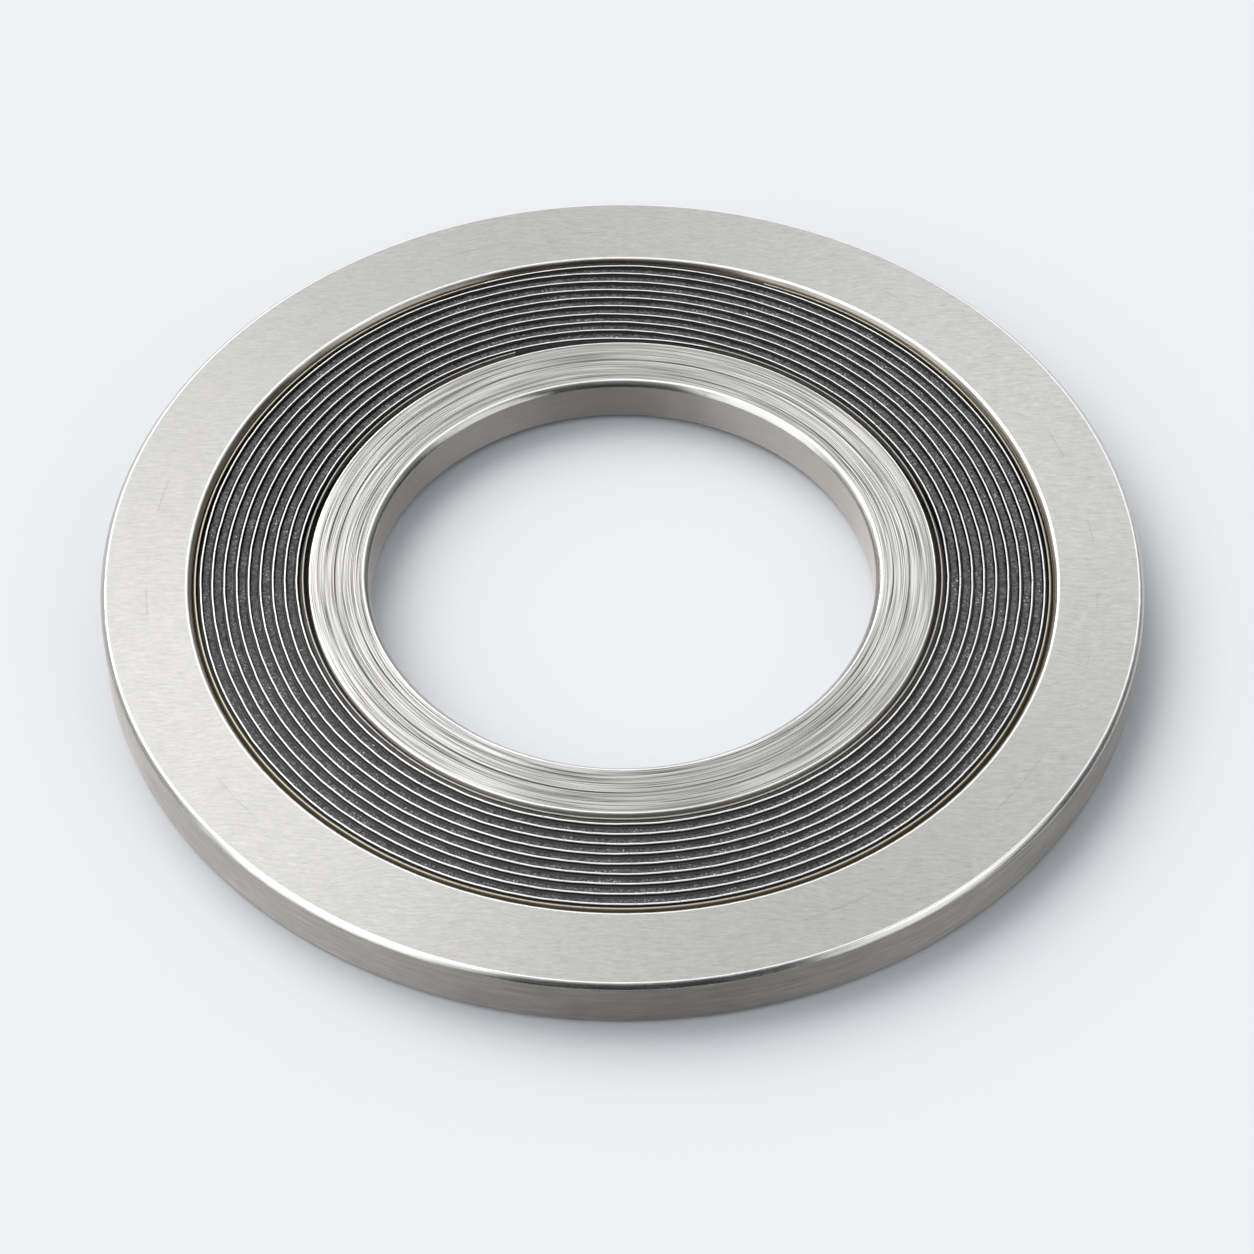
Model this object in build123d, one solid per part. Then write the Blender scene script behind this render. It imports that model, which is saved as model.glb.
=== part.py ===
"""Spiral wound gasket: two turned rings with a chevron strip and a graphite filler wound between them.

Millimetres, +Z up. The origin is the centre of the bore on the gasket's mid-plane.
"""

import os
from math import cos, pi, radians, sin

from build123d import *

# Rings
outer_ring_od = 85.9
outer_ring_width = 7.45
outer_ring_thickness = 4.8
inner_ring_width = 4.95
inner_ring_thickness = 4.3
rim_chamfer = 0.4
channel_chamfer = 0.37
bore_chamfer = 0.45
nose_height = 3.4

# Winding: a thin steel strip with a chevron section, apex outward
strip_width = 4.3
strip_gauge = 0.2
vee_depth = 0.7
sealing_plies = 9
ply_pitch = 0.9875
filler_recess = 0.3

# The plain plies, with no filler behind them, one at each end of the strip
plain_plies = 2
plain_inner_step = 0.5
plain_outer_step = 0.45

# Each ply is round for most of its turn and climbs to the next one over a ramp.
# Each end of the strip overlaps a ply that is climbing.
ramp_angle = 75.0
ramp_end_angle = 127.5
end_overlap_angle = 17.0
flats_per_turn = 42

# Clearances
inner_channel = 0.37
outer_channel = 0.13
nose_play = 0.01
groove_play = 0.02
filler_play = 0.005

outer_ring_half = outer_ring_thickness / 2
inner_ring_half = inner_ring_thickness / 2
strip_half = strip_width / 2
filler_half = strip_half - filler_recess
corner_factor = 1 / cos(pi / flats_per_turn)

# Radii follow one another inward from the centring ring's rim
outer_ring_rim = outer_ring_od / 2
outer_ring_wall = outer_ring_rim - outer_ring_width
plain_outer_radius = (outer_ring_wall - outer_channel) / corner_factor - strip_gauge
last_ply_radius = plain_outer_radius - plain_outer_step
first_ply_radius = last_ply_radius - ply_pitch * (sealing_plies - 1)
plain_inner_radius = first_ply_radius - plain_inner_step
inner_ring_rim = plain_inner_radius - inner_channel
inner_ring_bore = inner_ring_rim - inner_ring_width


def lean(height):
    """How far the chevron stands out of its own edges at a height above the mid-plane."""
    return vee_depth * (1 - abs(height) / strip_half)


def turned(upper_half):
    """A ring turned from the upper half of its section, as (radius, height), and its mirror image."""
    lower_half = [(radius, -height) for radius, height in reversed(upper_half) if height > 0]
    section = make_face(Polyline(*upper_half, *lower_half, close=True))
    return revolve(Plane.XZ * section, Axis.Z)


def make_outer_ring():
    """The centring ring: a V-groove round its bore takes the apex of the winding's last ply."""
    apex = plain_outer_radius + strip_gauge + vee_depth
    groove_bottom = apex * corner_factor + groove_play
    groove_reach = (outer_channel - groove_play) / corner_factor
    groove_half = strip_half * (1 - groove_reach / vee_depth)
    return turned([
        (groove_bottom, 0),
        (outer_ring_wall, groove_half),
        (outer_ring_wall, outer_ring_half - channel_chamfer),
        (outer_ring_wall + channel_chamfer, outer_ring_half),
        (outer_ring_rim - rim_chamfer, outer_ring_half),
        (outer_ring_rim, outer_ring_half - rim_chamfer),
    ])


def make_inner_ring():
    """The inner ring: a V-nose round its rim seats in the hollow side of the winding's first ply."""
    nose_tip = plain_inner_radius + vee_depth - nose_play
    return turned([
        (nose_tip, 0),
        (inner_ring_rim, nose_height / 2),
        (inner_ring_rim, inner_ring_half),
        (inner_ring_bore + bore_chamfer, inner_ring_half),
        (inner_ring_bore, inner_ring_half - bore_chamfer),
    ])


def flats_in(turns):
    """Whole flats of the wound path in that many turns."""
    return round(flats_per_turn * turns)


def plies_wound(chord):
    """Plies wound when this chord of the path starts, eased in and out over the ramp of each turn."""
    turn, chord_in_turn = divmod(chord, flats_per_turn)
    angle = 360 * chord_in_turn / flats_per_turn
    climb = max(0, (angle - 360 + ramp_angle) / ramp_angle)
    return turn + climb ** 2 * (3 - 2 * climb)


def filled_radius(chord):
    """Radius of the strip's inner face where filler keeps the plies a full pitch apart."""
    return first_ply_radius + ply_pitch * (plies_wound(chord) - 1)


def wound_path(first_chord, last_chord, offset):
    """A turn-by-turn path at an offset outside the strip's inner face, as flats that touch its round plies."""
    points = []
    for chord in range(first_chord, last_chord + 1):
        radius = min(max(filled_radius(chord), plain_inner_radius), plain_outer_radius)
        corner = (radius + offset) * corner_factor
        angle = radians(ramp_end_angle + 360 * chord / flats_per_turn)
        points.append((corner * cos(angle), corner * sin(angle)))
    return points


def wound(first_chord, last_chord, near, far, half_height):
    """Sweep a chevron band, from near to far outside the strip's inner face, along the wound path."""
    middle = (near + far + vee_depth) / 2
    points = wound_path(first_chord, last_chord, middle)
    along_x = points[1][0] - points[0][0]
    along_y = points[1][1] - points[0][1]
    start = Plane(origin=points[0], x_dir=(along_y, -along_x), z_dir=(-along_x, -along_y))
    edge_lean = lean(half_height)
    section = make_face(Polyline(
        (near + edge_lean - middle, half_height),
        (near + vee_depth - middle, 0),
        (near + edge_lean - middle, -half_height),
        (far + edge_lean - middle, -half_height),
        (far + vee_depth - middle, 0),
        (far + edge_lean - middle, half_height),
        close=True,
    ))
    return sweep(start * section, path=Polyline(*points), transition=Transition.RIGHT)


def make_winding_strip():
    """One strip: a plain ply, the sealing plies, then a plain ply whose end overlaps the last climb."""
    first_chord = -flats_in(end_overlap_angle / 360)
    last_turn = sealing_plies + plain_plies - (ramp_angle - end_overlap_angle) / 360
    return wound(first_chord, flats_in(last_turn), 0, strip_gauge, strip_half)


def make_graphite_filler():
    """One filler tape outside the strip, wherever the plies on both sides of it are a pitch apart."""
    filled = [
        chord
        for chord in range(flats_in(sealing_plies + 1))
        if filled_radius(chord) >= plain_inner_radius
        and filled_radius(chord + flats_per_turn) <= plain_outer_radius
    ]
    near = strip_gauge + filler_play
    far = ply_pitch - filler_play
    return wound(filled[0], filled[-1], near, far, filler_half)


nodes = {
    "outer_ring": make_outer_ring(),
    "inner_ring": make_inner_ring(),
    "winding_strip": make_winding_strip(),
    "graphite_filler": make_graphite_filler(),
}

os.makedirs("parts", exist_ok=True)
for name, solid in nodes.items():
    export_step(solid, f"parts/{name}.step")
    print(name, round(solid.volume, 1), "mm3", solid.is_valid)
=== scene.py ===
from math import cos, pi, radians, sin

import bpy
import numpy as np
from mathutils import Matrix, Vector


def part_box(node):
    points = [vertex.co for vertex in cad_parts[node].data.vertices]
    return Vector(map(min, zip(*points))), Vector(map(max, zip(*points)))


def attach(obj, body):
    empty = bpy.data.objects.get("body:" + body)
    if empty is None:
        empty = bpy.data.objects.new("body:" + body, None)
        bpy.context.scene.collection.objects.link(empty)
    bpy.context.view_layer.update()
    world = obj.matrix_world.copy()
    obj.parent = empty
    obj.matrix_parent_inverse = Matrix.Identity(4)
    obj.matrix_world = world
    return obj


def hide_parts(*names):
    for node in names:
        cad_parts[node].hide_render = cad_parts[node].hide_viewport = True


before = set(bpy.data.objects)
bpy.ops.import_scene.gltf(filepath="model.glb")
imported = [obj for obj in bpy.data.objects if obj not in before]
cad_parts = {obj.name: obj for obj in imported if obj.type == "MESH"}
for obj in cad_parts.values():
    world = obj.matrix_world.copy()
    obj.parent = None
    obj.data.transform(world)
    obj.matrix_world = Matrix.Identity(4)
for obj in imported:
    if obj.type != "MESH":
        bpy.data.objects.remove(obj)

# Spiral wound gasket in a plain studio. Metres, in the CAD's own frame: +Z up, the origin at the centre of
# the bore on the mid-plane. The two rings are the CAD solids with finishes. The strip and the filler are
# wound again along the CAD's path, with finer turns, worn edges and a rough graphite face.

MM = 0.001

for name in ("Cube", "Light", "Camera"):
    if name in bpy.data.objects:
        bpy.data.objects.remove(bpy.data.objects[name])
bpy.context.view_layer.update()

# Sizes of the CAD that no box of the frame gives
OUTER_RING_WIDTH = 7.45 * MM
INNER_RING_WIDTH = 4.95 * MM
RIM_CHAMFER = 0.4 * MM
CHANNEL_CHAMFER = 0.37 * MM
BORE_CHAMFER = 0.45 * MM
INNER_CHANNEL = 0.37 * MM
VEE_DEPTH = 0.7 * MM
STRIP_GAUGE = 0.2 * MM
PLY_PITCH = 0.9875 * MM
SEALING_PLIES = 9
PLAIN_PLIES = 2
PLAIN_INNER_STEP = 0.5 * MM
PLAIN_OUTER_STEP = 0.45 * MM
NOSE_PLAY = 0.01 * MM
FILLER_PLAY = 0.005 * MM
RAMP_ANGLE = 75.0
RAMP_END_ANGLE = 127.5
END_OVERLAP_ANGLE = 17.0

# Sizes that the frame gives
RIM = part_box("outer_ring")[1].x
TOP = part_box("outer_ring")[1].z
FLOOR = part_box("outer_ring")[0].z
INNER_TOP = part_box("inner_ring")[1].z
STRIP_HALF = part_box("winding_strip")[1].z
FILLER_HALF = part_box("graphite_filler")[1].z
PLAIN_INNER_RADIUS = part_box("inner_ring")[1].x - VEE_DEPTH + NOSE_PLAY
FIRST_PLY_RADIUS = PLAIN_INNER_RADIUS + PLAIN_INNER_STEP
LAST_PLY_RADIUS = FIRST_PLY_RADIUS + PLY_PITCH * (SEALING_PLIES - 1)
PLAIN_OUTER_RADIUS = LAST_PLY_RADIUS + PLAIN_OUTER_STEP

# Radii at which the rings' flat faces end, and of the worn line
INNER_RIM = PLAIN_INNER_RADIUS - INNER_CHANNEL
BORE_EDGE = INNER_RIM - INNER_RING_WIDTH + BORE_CHAMFER
CHANNEL_EDGE = RIM - OUTER_RING_WIDTH + CHANNEL_CHAMFER
RIM_EDGE = RIM - RIM_CHAMFER
WORN_LINE = RIM - 3.85 * MM

# Detail of the fine winding
STATIONS_PER_TURN = 480
NICK_TURN = 5.776
NICK_HALF_ANGLE = 1.1
NICK_PUSH = 0.07 * MM
LEAST_FILLER_ROOM = 0.36 * MM

BUMP_DEPTH = 0.05 * MM
GRAPHITE_BUMP_DEPTH = 0.09 * MM
# Painted highlight on the rings' upper edges
PAINTED_EDGE_HIGHLIGHT = (0.97, 0.96, 0.94)
# Painted shade in the outer ring's channel
CHANNEL_PAINTED_SHADE = (0.30, 0.272, 0.235)


# ---------------------------------------------------------------- node helpers

class Nodes:
    """Short calls for building a node tree."""

    def __init__(self, tree):
        self.tree = tree
        self.tree.nodes.clear()

    def add(self, kind, inputs=(), **settings):
        node = self.tree.nodes.new(kind)
        for key, value in settings.items():
            setattr(node, key, value)
        for key, value in dict(inputs).items():
            self.feed(node.inputs[key], value)
        return node

    def feed(self, socket, value):
        if isinstance(value, bpy.types.NodeSocket):
            self.tree.links.new(value, socket)
        elif isinstance(value, (tuple, list)) and len(value) == 3 and socket.type == "RGBA":
            socket.default_value = (*value, 1.0)
        else:
            socket.default_value = value

    def math(self, operation, a, b=0.0, c=0.0):
        return self.add("ShaderNodeMath", {0: a, 1: b, 2: c}, operation=operation).outputs[0]

    def plus(self, a, b):
        return self.math("ADD", a, b)

    def minus(self, a, b):
        return self.math("SUBTRACT", a, b)

    def times(self, a, b):
        return self.math("MULTIPLY", a, b)

    def line(self, value, slope, start):
        """value times slope, plus start."""
        return self.math("MULTIPLY_ADD", value, slope, start)

    def larger(self, a, b):
        return self.math("MAXIMUM", a, b)

    def apart(self, a, b):
        """How far a is from b."""
        return self.math("ABSOLUTE", self.minus(a, b))

    def ramp(self, value, low, high, to_low=0.0, to_high=1.0):
        """value between low and high, eased, to between to_low and to_high."""
        inputs = {"Value": value, "From Min": low, "From Max": high, "To Min": to_low, "To Max": to_high}
        return self.add("ShaderNodeMapRange", inputs, interpolation_type="SMOOTHSTEP").outputs[0]

    def vector(self, x, y, z):
        return self.add("ShaderNodeCombineXYZ", {"X": x, "Y": y, "Z": z}).outputs[0]

    def split(self, vector):
        return self.add("ShaderNodeSeparateXYZ", {0: vector}).outputs

    def vector_math(self, operation, *inputs, output="Vector"):
        node = self.add("ShaderNodeVectorMath", enumerate(inputs), operation=operation)
        return node.outputs[output]

    def scale(self, vector, by):
        return self.add("ShaderNodeVectorMath", {0: vector, "Scale": by}, operation="SCALE").outputs[0]

    def noise(self, vector, scale=1.0, detail=2.0, roughness=0.5):
        inputs = {"Vector": vector, "Scale": scale, "Detail": detail, "Roughness": roughness}
        return self.add("ShaderNodeTexNoise", inputs).outputs["Fac"]

    def mix(self, factor, a, b):
        node = self.add("ShaderNodeMix", data_type="RGBA")
        self.feed(node.inputs["Factor"], factor)
        self.feed(node.inputs["A"], a)
        self.feed(node.inputs["B"], b)
        return node.outputs["Result"]

    def bump(self, height, strength, depth=BUMP_DEPTH):
        inputs = {"Height": height, "Strength": strength, "Distance": depth}
        return self.add("ShaderNodeBump", inputs).outputs[0]

    def surface(self, kind, inputs):
        """Make that shader the material's surface."""
        shader = self.add(kind, inputs)
        self.add("ShaderNodeOutputMaterial", {"Surface": shader.outputs[0]})


class Place:
    """Where a surface point is, in millimetres, for the lathe-turned patterns."""

    def __init__(self, nodes):
        self.nodes = nodes
        self.mm = nodes.scale(nodes.add("ShaderNodeTexCoord").outputs["Object"], 1 / MM)
        self.x, self.y, self.z = nodes.split(self.mm)
        flat = nodes.vector_math("MULTIPLY", self.mm, (1.0, 1.0, 0.0))
        self.radius = nodes.vector_math("LENGTH", flat, output="Value")
        self.around = nodes.vector_math("NORMALIZE", flat)
        facing = nodes.add("ShaderNodeNewGeometry").outputs["True Normal"]
        self.flatness = nodes.math("ABSOLUTE", nodes.split(facing)["Z"])

    def turned(self, across, rate_around, rate_across):
        """A vector for noise whose streaks run round the axis: slow round the turn, quick across."""
        nodes = self.nodes
        around = nodes.split(nodes.scale(self.around, rate_around))
        return nodes.vector(around["X"], around["Y"], nodes.times(across, rate_across))


def material(name):
    made = bpy.data.materials.new(name)
    made.use_nodes = True
    return made, Nodes(made.node_tree)


def grey(value, warm=0.0):
    """A grey of that linear value, warmer for a warm over zero."""
    return (value * (1 + warm), value, value * (1 - 1.6 * warm))


# ---------------------------------------------------------------- the rings' finishes

def zones(p):
    """Masks of a ring's flat faces, its upright walls and the chamfers between them."""
    n = p.nodes
    on_face = n.ramp(p.flatness, 0.85, 0.95)
    on_wall = n.ramp(p.flatness, 0.30, 0.50, 1.0, 0.0)
    on_chamfer = n.minus(n.minus(1.0, on_face), on_wall)
    return on_face, on_wall, on_chamfer


def line_round(p, radius, half_width):
    """One at that radius, fading to none half a width, in millimetres, away from it."""
    n = p.nodes
    return n.ramp(n.apart(p.radius, radius / MM), half_width * 0.55, half_width, 1.0, 0.0)


def painted_edge_highlights(p, top, inner_line, outer_line):
    """Painted highlight: those two lines where they lie on a ring's upper face, which is at that height."""
    n = p.nodes
    height = top / MM
    return n.times(n.larger(inner_line, outer_line), n.ramp(p.z, height - 0.16, height - 0.08))


def brush_strokes(p):
    """Fine strokes across the outer ring's face, a little wavy."""
    n = p.nodes
    across = n.plus(p.y, n.times(n.noise(p.mm, 0.11, 1.0), 3.4))
    long_strokes = n.noise(n.vector(n.times(p.x, 0.55), n.times(across, 3.6), 0.0), 1.0, 3.0, 0.6)
    short_strokes = n.noise(n.vector(n.times(p.x, 1.5), n.times(across, 6.5), 7.0), 1.0, 2.0, 0.6)
    return n.line(long_strokes, 0.50, n.times(short_strokes, 0.50))


def stray_scratches(p):
    """Faint scratches in three sets, each slanted its own way."""
    n = p.nodes
    sets = ((0.30, 3.3, -0.75, 0.0), (0.36, 3.9, 0.55, 3.0), (0.26, 4.4, 0.12, 6.0))
    scratches = 0.0
    for rate_along, rate_across, slant, level in sets:
        across = n.times(n.line(p.x, slant, p.y), rate_across)
        pattern = n.noise(n.vector(n.times(p.x, rate_along), across, level), 1.0, 0.0)
        scratches = n.larger(scratches, n.ramp(pattern, 0.74, 0.84))
    return scratches


def worn_line(p):
    """One thin line round the outer ring's face that comes and goes."""
    n = p.nodes
    shown = n.ramp(n.noise(p.turned(0.0, 7.0, 0.0), 1.0, 3.0), 0.50, 0.62)
    return n.times(line_round(p, WORN_LINE, 0.12), shown)


def lathe_grooves(p):
    """The inner ring's four grooves and the lip beside the deepest, all of them wandering a little."""
    n = p.nodes
    wandering = n.line(n.noise(p.turned(0.0, 1.2, 0.0), 1.0, 2.0), 0.4, -0.2)
    from_bore = n.minus(n.plus(p.radius, wandering), BORE_EDGE / MM)
    grooves = ((2.37, 0.08, 1.0), (1.0, 0.07, 0.55), (3.2, 0.07, 0.45), (0.55, 0.06, 0.4))
    groove = 0.0
    for place, half_width, depth in grooves:
        cut = n.ramp(n.apart(from_bore, place), half_width * 0.3, half_width, 1.0, 0.0)
        groove = n.larger(groove, n.times(cut, depth))
    lip = n.ramp(n.apart(from_bore, 2.19), 0.02, 0.09, 1.0, 0.0)
    return groove, lip


def turned_metal(n, tone, roughness, on_wall, normal):
    """Steel whose highlights are drawn out across its turning lines, most of all on the walls."""
    n.surface("ShaderNodeBsdfPrincipled", {
        "Base Color": tone,
        "Metallic": 1.0,
        "Roughness": roughness,
        "Anisotropic": n.line(on_wall, 0.28, 0.60),
        "Anisotropic Rotation": 0.25,
        "Tangent": n.add("ShaderNodeTangent", direction_type="RADIAL", axis="Z").outputs[0],
        "Normal": normal,
    })


def outer_ring_steel():
    """Satin plate: fine short brush strokes across the face, fine lines round the walls, painted highlights.
    """
    made, n = material("outer_ring_steel")
    p = Place(n)
    on_face, on_wall, on_chamfer = zones(p)
    wall = n.noise(p.turned(p.z, 9.0, 5.0), 1.0, 4.0, 0.7)
    grain = n.plus(n.times(brush_strokes(p), on_face), n.times(wall, n.minus(1.0, on_face)))
    worn = worn_line(p)

    cloud = n.noise(p.mm, 0.13, 2.0, 0.5)
    mottle = n.noise(p.mm, 0.9, 3.0, 0.6)
    shade = n.line(grain, 0.90, n.line(cloud, 0.05, 0.46))
    shade = n.line(mottle, 0.14, shade)
    shade = n.line(n.times(stray_scratches(p), on_face), 0.05, shade)
    shade = n.line(worn, -0.08, shade)

    in_channel = n.math("LESS_THAN", p.radius, CHANNEL_EDGE / MM - 0.04)
    wall_tone = n.scale(grey(0.43, 0.036), shade)
    # Painted highlight: the chamfers are given a lighter tone than the wall
    wall_tone = n.mix(on_chamfer, wall_tone, grey(0.58, 0.02))
    # Painted shade: the channel's chamfer and wall are darker and browner
    wall_tone = n.mix(in_channel, wall_tone, CHANNEL_PAINTED_SHADE)
    tone = n.mix(on_face, wall_tone, n.scale(grey(0.445, 0.014), shade))
    # Painted highlights along the channel's and the rim's upper edges
    edges = painted_edge_highlights(p, TOP, line_round(p, CHANNEL_EDGE, 0.13), line_round(p, RIM_EDGE, 0.13))
    tone = n.mix(edges, tone, PAINTED_EDGE_HIGHLIGHT)

    roughness = n.ramp(grain, 0.25, 0.75, 0.38, 0.46)
    roughness = n.line(on_chamfer, -0.17, n.line(on_wall, 0.30, roughness))
    turned_metal(n, tone, roughness, on_wall, n.bump(n.line(worn, -0.5, grain), 0.22))
    return made


def inner_ring_steel():
    """Lathe-turned: fine uneven lines and a few grooves round the face, a rolled outer edge."""
    made, n = material("inner_ring_steel")
    p = Place(n)
    on_face, on_wall, on_chamfer = zones(p)
    broad = n.noise(p.turned(p.radius, 1.5, 2.0), 1.0, 2.0, 0.6)
    fine = n.noise(p.turned(p.radius, 3.2, 11.0), 1.0, 0.4, 0.6)
    cuts = n.ramp(n.noise(p.turned(p.radius, 2.0, 10.0), 1.0, 0.5, 0.6), 0.34, 0.42, 1.0, 0.0)
    groove, lip = lathe_grooves(p)
    roll = n.ramp(p.radius, INNER_RIM / MM - 0.50, INNER_RIM / MM)
    off_roll = n.minus(1.0, n.times(roll, 0.8))

    shade = n.line(broad, 0.18, n.line(fine, 2.05, -0.06))
    shade = n.line(n.times(cuts, off_roll), -0.46, shade)
    # Painted shade darkens the grooves; a painted highlight lightens the lip beside the deepest
    shade = n.line(groove, -0.52, shade)
    shade = n.line(lip, 0.22, shade)
    shade = n.larger(shade, 0.15)

    wall = n.noise(p.turned(p.z, 7.0, 5.0), 1.0, 4.0, 0.65)
    wall_tone = n.scale(grey(0.47, 0.036), n.line(wall, 0.35, 0.82))
    wall_tone = n.mix(on_chamfer, wall_tone, grey(0.50, 0.02))
    tone = n.mix(on_face, wall_tone, n.scale(grey(0.420, 0.014), shade))
    # Painted highlights along the bore's and the rim's upper edges
    bore_highlight = line_round(p, BORE_EDGE + 0.03 * MM, 0.12)
    rim_highlight = line_round(p, INNER_RIM - 0.02 * MM, 0.15)
    tone = n.mix(painted_edge_highlights(p, INNER_TOP, bore_highlight, rim_highlight), tone, PAINTED_EDGE_HIGHLIGHT)

    height = n.line(groove, -1.6, n.line(cuts, -0.6, fine))
    height = n.times(height, n.times(off_roll, on_face))
    height = n.line(roll, -1.6, height)
    roughness = n.ramp(fine, 0.25, 0.75, 0.32, 0.42)
    roughness = n.line(on_chamfer, -0.12, n.line(on_wall, 0.32, roughness))
    turned_metal(n, tone, roughness, on_wall, n.bump(height, 0.75))
    return made


def dress_ring(node, finish):
    """A CAD ring with its finish and its sharp edges just broken."""
    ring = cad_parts[node]
    ring.material_slots[0].material = finish
    ring.modifiers.new("weld", "WELD").merge_threshold = 0.001 * MM
    edge = ring.modifiers.new("edge", "BEVEL")
    edge.width = 0.07 * MM
    edge.segments = 2
    edge.limit_method = "ANGLE"
    edge.angle_limit = radians(30)
    edge.harden_normals = True


# ---------------------------------------------------------------- the winding's finishes

def steel_edge(name, tone, roughness):
    """The strip's sheared edge in that tone, with small dark flecks of graphite."""
    made, n = material(name)
    p = Place(n)
    along = n.noise(p.mm, 1.3, 3.0, 0.6)
    flecks = n.ramp(n.noise(p.mm, 4.5, 2.0), 0.62, 0.72)
    shade = n.times(n.line(along, 0.25, 0.85), n.line(flecks, -0.45, 1.0))
    n.surface("ShaderNodeBsdfPrincipled", {
        "Base Color": n.scale(tone, shade),
        "Metallic": 0.30,
        "Roughness": roughness,
        "Normal": n.bump(along, 0.2),
    })
    return made


def smeared_side(name, tone, metallic, painted_shade_depth):
    """The strip's faces: painted black as shade down to that depth, in millimetres, then streaked with
    graphite.
    """
    made, n = material(name)
    p = Place(n)
    smear = n.noise(p.turned(p.z, 22.0, 5.0), 1.0, 3.0, 0.7)
    depth = n.minus(STRIP_HALF / MM, n.math("ABSOLUTE", p.z))
    # Painted shade: near black just under the strip's top edge
    clear = n.ramp(depth, painted_shade_depth, painted_shade_depth + 0.10, 0.06, 1.0)
    n.surface("ShaderNodeBsdfPrincipled", {
        "Base Color": n.scale(tone, n.times(n.line(smear, 1.1, 0.45), clear)),
        "Metallic": metallic,
        "Roughness": n.ramp(smear, 0.3, 0.7, 0.42, 0.60),
    })
    return made


def graphite():
    """Graphite tape: dark grey and grainy, with small bright flakes and darker pits."""
    made, n = material("graphite")
    p = Place(n)
    grain = n.noise(p.mm, 3.5, 3.0, 0.85)
    patch = n.noise(p.mm, 0.45, 3.0, 0.6)
    streak = n.noise(p.turned(p.radius, 10.0, 6.0), 1.0, 3.0, 0.6)
    pits = n.ramp(n.noise(p.mm, 3.6, 2.0, 0.6), 0.26, 0.40, 1.0, 0.0)
    flakes = n.ramp(n.noise(p.mm, 5.5, 1.0), 0.61, 0.70)
    flakes = n.times(flakes, n.ramp(patch, 0.45, 0.62, 0.15, 1.0))
    shade = n.ramp(grain, 0.41, 0.66, 0.004, 0.205)
    shade = n.line(streak, 0.05, shade)
    shade = n.line(patch, 0.07, n.minus(shade, 0.03))
    shade = n.larger(shade, 0.01)
    shade = n.times(shade, n.line(pits, -0.7, 1.0))
    rough = n.plus(grain, n.times(streak, 0.5))
    n.surface("ShaderNodeBsdfPrincipled", {
        "Base Color": n.mix(flakes, n.scale((0.625, 0.62, 0.62), shade), grey(0.52)),
        "Metallic": 0.0,
        "Roughness": n.ramp(grain, 0.3, 0.7, 0.45, 0.65),
        "Specular IOR Level": 0.5,
        "Normal": n.bump(rough, 1.0, GRAPHITE_BUMP_DEPTH),
    })
    return made


def crevice():
    """The shoulder where the filler meets the strip, painted near black as shade."""
    made, n = material("graphite_crevice_painted_shade")
    p = Place(n)
    grain = n.noise(p.mm, 4.0, 3.0, 0.6)
    n.surface("ShaderNodeBsdfPrincipled", {
        # Painted shade: a near-black tone
        "Base Color": n.scale((0.010, 0.010, 0.011), n.line(grain, 1.2, 0.3)),
        "Roughness": 0.9,
        "Specular IOR Level": 0.15,
        "Normal": n.bump(grain, 0.5),
    })
    return made


# ---------------------------------------------------------------- the winding

def lean(height):
    """How far the chevron stands out of its own edges at a height above the mid-plane."""
    return VEE_DEPTH * (1 - np.abs(height) / STRIP_HALF)


def filled_radius(turns):
    """The strip's inner face where filler keeps the plies a pitch apart, after that many turns."""
    whole = np.floor(turns)
    climb = np.clip(((turns - whole) * 360 - 360 + RAMP_ANGLE) / RAMP_ANGLE, 0, 1)
    return FIRST_PLY_RADIUS + PLY_PITCH * (whole + climb ** 2 * (3 - 2 * climb) - 1)


def wander(turns):
    """Small wobble of the wound strip, none on its plain plies, and a nick that pushed one ply aside."""
    phases = np.random.RandomState(11).uniform(0, 2 * pi, 10)
    rates = (5.3, 9.7, 14.1, 22.9, 31.7, 47.3, 66.1, 83.9, 109.3, 141.7)
    sizes = (0.010, 0.009, 0.008, 0.007, 0.006, 0.005, 0.004, 0.004, 0.003, 0.003)
    waves = [size * np.sin(2 * pi * rate * turns + phase) for size, rate, phase in zip(sizes, rates, phases)]
    nick = NICK_PUSH * np.exp(-(((turns - NICK_TURN) * 360 / NICK_HALF_ANGLE) ** 2))
    wound = np.clip((turns - 1.0) * 8, 0, 1) * np.clip((SEALING_PLIES + 0.7 - turns) * 8, 0, 1)
    return (sum(waves) * MM + nick) * wound


def strip_radius(turns):
    """The strip's inner face after that many turns."""
    return np.clip(filled_radius(turns), PLAIN_INNER_RADIUS, PLAIN_OUTER_RADIUS) + wander(turns)


def section(half_height, drops):
    """A band's section as (share of the way across, height), from its upper edge's drops in millimetres.

    The upper edge runs from the near face to the far one. The chevron's far apex follows, then the lower
    edge, which mirrors the upper one, and the near apex.
    """
    upper = [(share, half_height - drop * MM) for share, drop in drops]
    lower = [(share, -height) for share, height in reversed(upper)]
    return upper + [(1.0, 0.0)] + lower + [(0.0, 0.0)]


def upper_place(place, edge_points):
    """A face's place in the section, or for a face of the lower edge that of its mirror image above."""
    return np.minimum(place, 2 * edge_points - 1 - place)


def smooth_rows(rows, reach):
    """Random rows made coherent along the winding."""
    kernel = np.hanning(reach * 2 + 1)
    kernel /= kernel.sum()
    return np.stack([np.convolve(rows[:, k], kernel, mode="same") for k in range(rows.shape[1])], axis=1)


def band_faces(stations, count):
    """The faces of a band of that many stations, each of that many points: quads and two end caps."""
    first = (np.arange(stations - 1)[:, None] * count + np.arange(count)).ravel()
    after = (np.arange(stations - 1)[:, None] * count + (np.arange(count) + 1) % count).ravel()
    quads = np.stack([first, after, after + count, first + count], axis=1)
    last = (stations - 1) * count
    return quads.tolist() + [tuple(range(count - 1, -1, -1)), tuple(range(last, last + count))]


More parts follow.
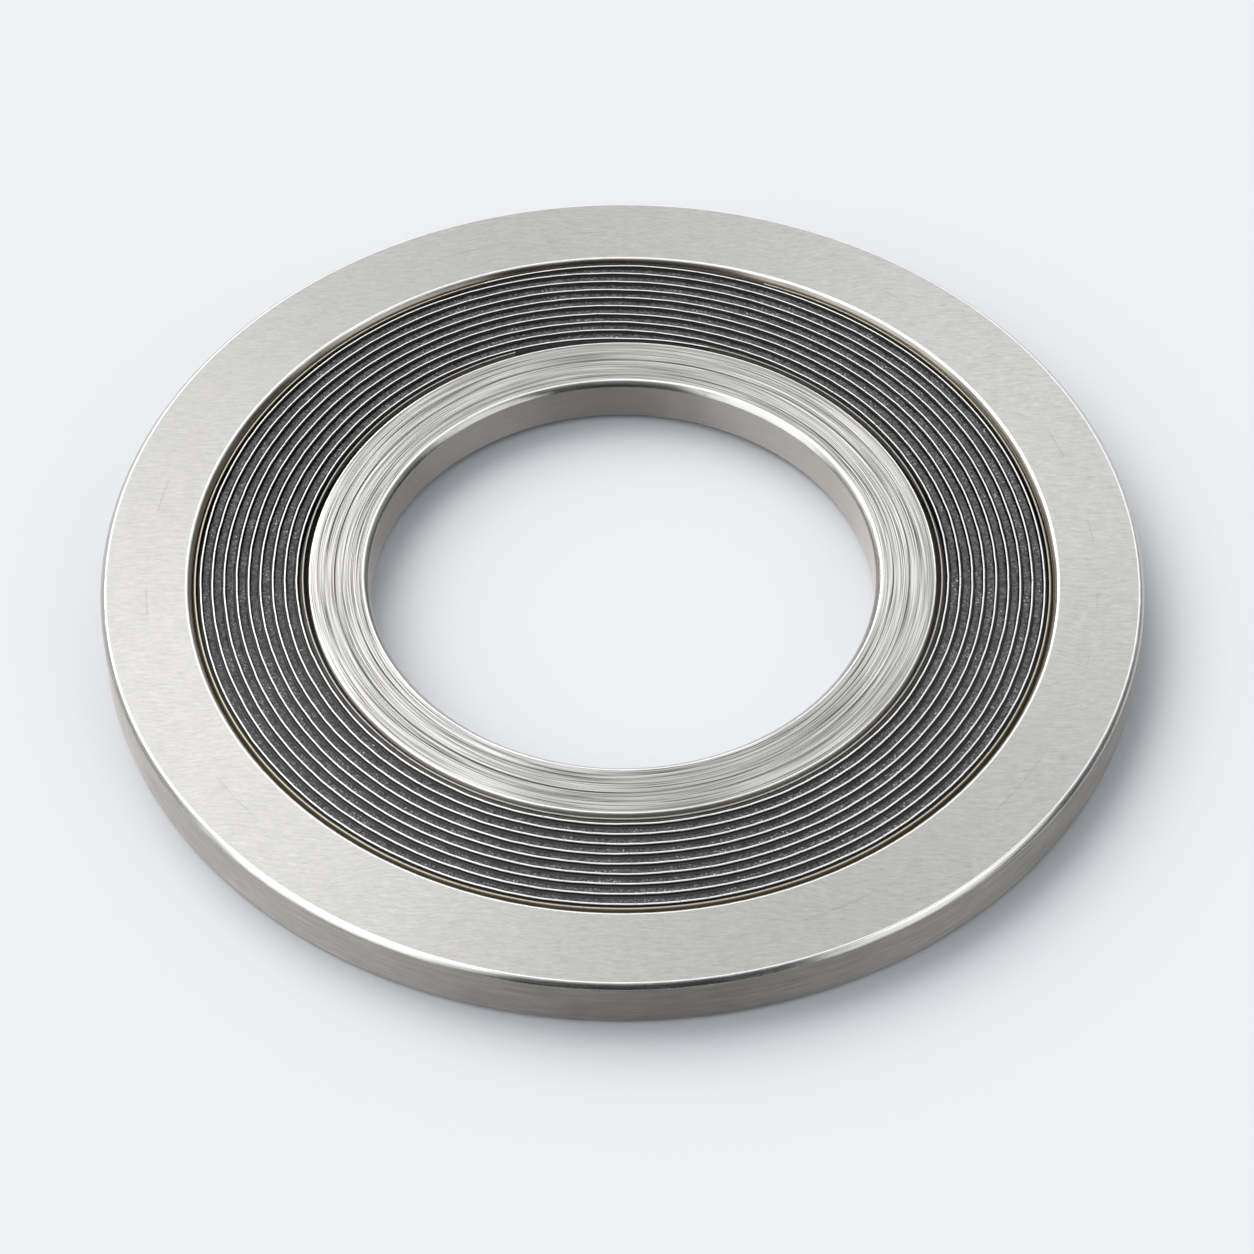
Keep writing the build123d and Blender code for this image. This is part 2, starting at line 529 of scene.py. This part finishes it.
def band(name, turns, near, far, profile, jitter, materials, pick):
    """A closed band wound round the axis.

    near and far are its faces' radii along the turns. profile lists (share of the way from near to far,
    height) round the section. pick gives a face's material from its turn and its place in the profile.
    """
    share = np.array([point[0] for point in profile])
    height = np.array([point[1] for point in profile]) + jitter
    radius = near[:, None] * (1 - share) + far[:, None] * share + lean(height)
    angle = np.radians(RAMP_END_ANGLE) + 2 * pi * turns
    vertices = np.stack([radius * np.cos(angle)[:, None], radius * np.sin(angle)[:, None], height], axis=2)
    stations, count = radius.shape
    mesh = bpy.data.meshes.new(name)
    mesh.from_pydata(vertices.reshape(-1, 3).tolist(), [], band_faces(stations, count))
    for finish in materials:
        mesh.materials.append(finish)
    face_turn = np.repeat(turns[:-1], count)
    face_place = np.tile(np.arange(count), stations - 1)
    slots = np.append(pick(face_turn, face_place), [0, 0]).astype(np.int32)
    mesh.polygons.foreach_set("material_index", slots)
    mesh.polygons.foreach_set("use_smooth", np.ones(len(slots), bool))
    mesh.set_sharp_from_angle(angle=radians(50))
    mesh.update()
    made = bpy.data.objects.new(name, mesh)
    bpy.context.scene.collection.objects.link(made)
    return made


def wind_strip():
    """The steel strip with rolled-over edges, a painted highlight on top and painted shade down its faces.
    """
    first_turn = -END_OVERLAP_ANGLE / 360
    last_turn = SEALING_PLIES + PLAIN_PLIES - (RAMP_ANGLE - END_OVERLAP_ANGLE) / 360
    turns = np.linspace(first_turn, last_turn, round((last_turn - first_turn) * STATIONS_PER_TURN) + 1)
    near = strip_radius(turns)
    drops = ((0.0, 0.15), (0.17, 0.05), (0.30, 0.010), (0.50, 0.0), (0.70, 0.010), (0.83, 0.05), (1.0, 0.15))
    edge_points = len(drops)
    profile = section(STRIP_HALF, drops)

    # Shallow dips along both edges, while the apexes between them stay true
    dips = smooth_rows(np.random.RandomState(3).uniform(0, 1, (len(turns), 2)), 4) * 0.03 * MM
    jitter = np.zeros((len(turns), len(profile)))
    jitter[:, :edge_points] = -dips[:, :1]
    jitter[:, edge_points + 1:-1] = dips[:, 1:]

    finishes = (
        # The sealing plies' near-white edge is a painted highlight on the crest of the rolled edge
        steel_edge("strip_edge_painted_highlight", grey(0.98, 0.008), 0.34),
        steel_edge("plain_inner_ply_edge", grey(0.42, 0.02), 0.36),
        steel_edge("plain_outer_ply_edge", (0.56, 0.50, 0.39), 0.38),
        smeared_side("strip_face", (0.12, 0.118, 0.116), 0.0, 0.18),
        smeared_side("plain_inner_ply_face", (0.36, 0.34, 0.31), 0.6, 0.10),
        smeared_side("plain_outer_ply_face", (0.17, 0.148, 0.10), 0.6, 0.0),
    )

    def pick(turn, place):
        on_edge = np.isin(upper_place(place, edge_points), range(1, edge_points - 2))
        ply = np.where(turn > SEALING_PLIES + 0.95, 2, np.where(turn < 0.85, 1, 0))
        return ply + np.where(on_edge, 0, 3)

    strip = band("winding_strip_fine", turns, near, near + STRIP_GAUGE, profile, jitter, finishes, pick)
    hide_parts("winding_strip")
    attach(strip, "root")


def wind_filler():
    """The graphite tape: crowned between the plies, with a crevice down each side painted dark as shade."""
    turns = np.arange(0, (SEALING_PLIES + 1) * STATIONS_PER_TURN + 1) / STATIONS_PER_TURN
    room = strip_radius(turns + 1) - strip_radius(turns) - STRIP_GAUGE
    turns = turns[room > LEAST_FILLER_ROOM]
    near = strip_radius(turns) + STRIP_GAUGE + FILLER_PLAY
    far = strip_radius(turns + 1) - FILLER_PLAY
    drops = (
        (0.0, 0.30), (0.03, 0.22), (0.09, 0.03), (0.25, 0.0), (0.5, 0.0),
        (0.68, 0.0), (0.82, 0.03), (0.91, 0.30), (1.0, 0.45),
    )
    edge_points = len(drops)
    profile = section(FILLER_HALF, drops)

    # Rough crowns, while the crevices beside them stay true
    rough = smooth_rows(np.random.RandomState(5).uniform(0, 1, (len(turns), len(profile))), 2) * 0.09 * MM
    upper_crown = slice(2, edge_points - 2)
    lower_crown = slice(edge_points + 3, 2 * edge_points - 1)
    jitter = np.zeros((len(turns), len(profile)))
    jitter[:, upper_crown] = -rough[:, upper_crown]
    jitter[:, lower_crown] = rough[:, lower_crown]

    def pick(turn, place):
        on_crown = np.isin(upper_place(place, edge_points), range(2, edge_points - 3))
        return np.where(on_crown, 0, 1)

    filler = band("graphite_filler_fine", turns, near, far, profile, jitter, (graphite(), crevice()), pick)
    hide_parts("graphite_filler")
    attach(filler, "root")


# ---------------------------------------------------------------- studio

def make_floor():
    """A plain pale floor under the gasket that reaches past the view on every side."""
    reach = RIM * 200
    corners = ((-reach, -reach), (reach, -reach), (reach, reach), (-reach, reach))
    mesh = bpy.data.meshes.new("floor")
    mesh.from_pydata([(x, y, FLOOR) for x, y in corners], [], [(0, 1, 2, 3)])
    floor = bpy.data.objects.new("floor", mesh)
    bpy.context.scene.collection.objects.link(floor)
    made, n = material("floor")
    n.surface("ShaderNodeBsdfDiffuse", {"Color": (0.772, 0.776, 0.808)})
    mesh.materials.append(made)


def add_sun(name, energy, spread, colour, toward):
    """A lamp as wide as that many degrees, shining from that direction."""
    light = bpy.data.lights.new(name, "SUN")
    light.energy = energy
    light.angle = radians(spread)
    light.color = colour
    lamp = bpy.data.objects.new(name, light)
    lamp.rotation_mode = "QUATERNION"
    lamp.rotation_quaternion = Vector(toward).to_track_quat("Z", "Y")
    bpy.context.scene.collection.objects.link(lamp)
    return lamp


def studio_level(n):
    """The studio's brightness by direction: a wide sky and two softboxes, dimmer toward the horizon."""
    direction = n.add("ShaderNodeTexCoord").outputs["Generated"]
    wide_sky = ((-0.24, 0.68, 0.70), -0.14, 0.86, 0.98)
    left_softbox = ((-0.72, -0.46, 0.46), 0.84, 0.97, 1.78)
    right_softbox = ((0.74, -0.42, 0.46), 0.90, 0.98, 1.50)
    level = 0.02
    for aim, dim_at, full_at, strength in (wide_sky, left_softbox, right_softbox):
        toward = n.vector_math("DOT_PRODUCT", direction, tuple(Vector(aim).normalized()), output="Value")
        level = n.plus(n.ramp(toward, dim_at, full_at, 0.0, strength), level)
    return n.times(level, n.ramp(n.split(direction)["Z"], 0.0, 0.40, 0.14, 1.0))


def make_light():
    """A pale studio: a wide bright sky behind and above, and two softboxes in front, left and right.

    Metal sees the full sky. Matt surfaces get a dimmer, cooler one and more of the sun, which makes the
    shadows firm and cool.
    """
    world = bpy.data.worlds.new("studio")
    bpy.context.scene.world = world
    world.use_nodes = True
    n = Nodes(world.node_tree)
    ray = n.add("ShaderNodeLightPath").outputs
    tint = n.mix(ray["Is Diffuse Ray"], (0.975, 0.988, 1.0), (0.755, 0.790, 0.825))
    studio = n.add("ShaderNodeBackground", {"Color": n.scale(tint, studio_level(n)), "Strength": 1.0})
    backdrop = n.add("ShaderNodeBackground", {"Color": (0.855, 0.871, 0.905), "Strength": 1.0})
    mixed = n.add("ShaderNodeMixShader", {
        0: ray["Is Camera Ray"],
        1: studio.outputs[0],
        2: backdrop.outputs[0],
    })
    n.add("ShaderNodeOutputWorld", {"Surface": mixed.outputs[0]})

    add_sun("softbox", 1.28, 58, (1.0, 0.99, 0.975), (-0.52, 0.48, 0.71))
    matt_only = add_sun("firm_key", 0.70, 50, (1.0, 0.943, 0.811), (-0.40, 0.50, 0.77))
    matt_only.visible_glossy = False


def make_camera():
    """The camera stands in front and above. Its place is fitted to the photo, in radii of the gasket."""
    elevation = radians(49.38)
    aside = 0.00866
    lift = -0.11813
    back = 8.8467
    right = Vector((1, 0, 0))
    up = Vector((0, sin(elevation), cos(elevation)))
    forward = Vector((0, cos(elevation), -sin(elevation)))
    data = bpy.data.cameras.new("camera")
    data.sensor_width = 36.0
    data.lens = 132.37
    data.clip_start = 0.01
    data.clip_end = 100.0
    camera = bpy.data.objects.new("camera", data)
    camera.location = Vector((0, 0, TOP)) + RIM * (aside * right + lift * up - back * forward)
    camera.rotation_mode = "QUATERNION"
    camera.rotation_quaternion = forward.to_track_quat("-Z", "Y")
    bpy.context.scene.collection.objects.link(camera)
    bpy.context.scene.camera = camera


dress_ring("outer_ring", outer_ring_steel())
dress_ring("inner_ring", inner_ring_steel())
wind_strip()
wind_filler()
make_floor()
make_light()
make_camera()
bpy.context.scene.view_settings.view_transform = "Standard"
